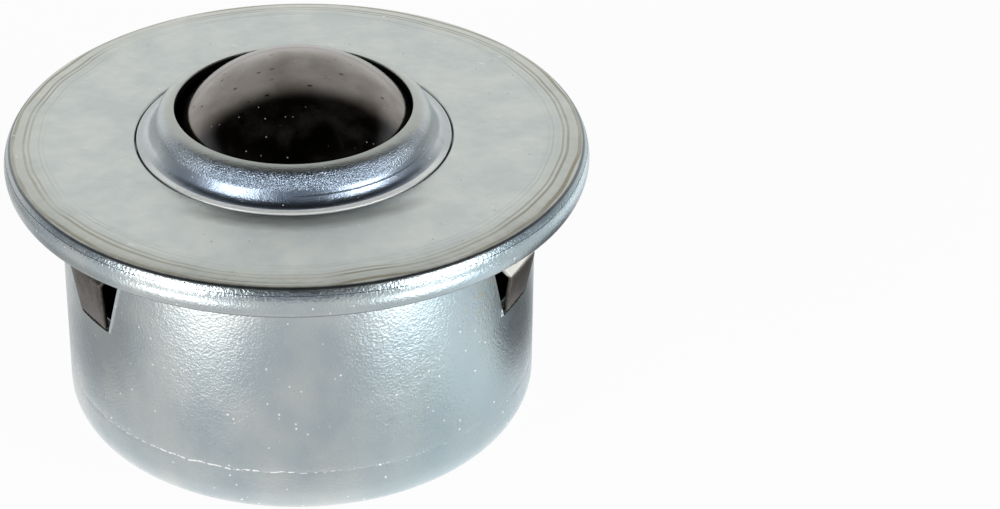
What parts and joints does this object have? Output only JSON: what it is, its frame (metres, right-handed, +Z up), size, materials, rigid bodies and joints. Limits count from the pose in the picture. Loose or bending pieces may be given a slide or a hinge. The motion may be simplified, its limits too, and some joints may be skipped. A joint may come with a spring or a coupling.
{
  "type": "ball transfer unit",
  "caption": "Ball transfer unit: a steel load ball rolls on small support balls in a drawn flanged sheet-steel housing that snaps into a round deck hole with spring claws.",
  "frame": {"origin": "centre of the housing's flat base, on the surface it stands on", "axes": "+Z up along the unit's axis, out through the load ball; -Y is the front; one claw is at +Y, the others 60 degrees to each side of -Y"},
  "size_m": [0.045, 0.045, 0.0298],
  "materials": {
    "zinc_housing": "zinc-plated, satin, faint spangle",
    "zinc_plate": "zinc-plated, matt",
    "cap_steel": "zinc-plated, fine grained",
    "hardened_steel": "hardened, ground raceway",
    "spring_steel": "tempered spring steel",
    "ball_steel": "polished bearing steel",
    "support_ball_steel": "polished bearing steel"
  },
  "bodies": {
    "unit": {"housing": "zinc_housing", "top_plate": "zinc_plate", "retaining_cap": "cap_steel", "support_cup": "hardened_steel", "claw_ring": "spring_steel"},
    "left_claw": {"claw_left": "spring_steel"},
    "right_claw": {"claw_right": "spring_steel"},
    "rear_claw": {"claw_rear": "spring_steel"},
    "pole_ball": {"pole_ball": "support_ball_steel"},
    "load_ball": {"load_ball": "ball_steel"},
    "support_balls": {"support_row_1": "support_ball_steel", "support_row_2": "support_ball_steel", "support_row_3": "support_ball_steel", "support_row_4": "support_ball_steel", "support_row_5": "support_ball_steel", "support_row_6": "support_ball_steel", "support_row_7": "support_ball_steel"}
  },
  "joints": [
    {"name": "ball_swivel", "type": "hinge", "parent": "unit", "child": "pole_ball", "pos_m": [0, 0, 0.01868], "axis": [0, 0, 1], "continuous": true},
    {"name": "ball_roll", "type": "hinge", "parent": "pole_ball", "child": "load_ball", "pos_m": [0, 0, 0.01868], "axis": [1, 0, 0], "continuous": true},
    {"name": "support_orbit", "type": "hinge", "parent": "unit", "child": "support_balls", "pos_m": [0, 0, 0.01868], "axis": [0, 0, 1], "continuous": true},
    {"name": "left_claw_spring", "type": "hinge", "parent": "unit", "child": "left_claw", "pos_m": [-0.01488, -0.00859, 0.02164], "axis": [0.5, -0.866, 0], "range_deg": [0, 9], "stiffness_Nm_per_rad": 0.5},
    {"name": "right_claw_spring", "type": "hinge", "parent": "unit", "child": "right_claw", "pos_m": [0.01488, -0.00859, 0.02164], "axis": [0.5, 0.866, 0], "range_deg": [0, 9], "stiffness_Nm_per_rad": 0.5},
    {"name": "rear_claw_spring", "type": "hinge", "parent": "unit", "child": "rear_claw", "pos_m": [0, 0.01718, 0.02164], "axis": [-1, 0, 0], "range_deg": [0, 9], "stiffness_Nm_per_rad": 0.5}
  ],
  "couplings": [
    {"joint": "support_orbit", "follows": "ball_swivel", "ratio": 0.4384}
  ]
}
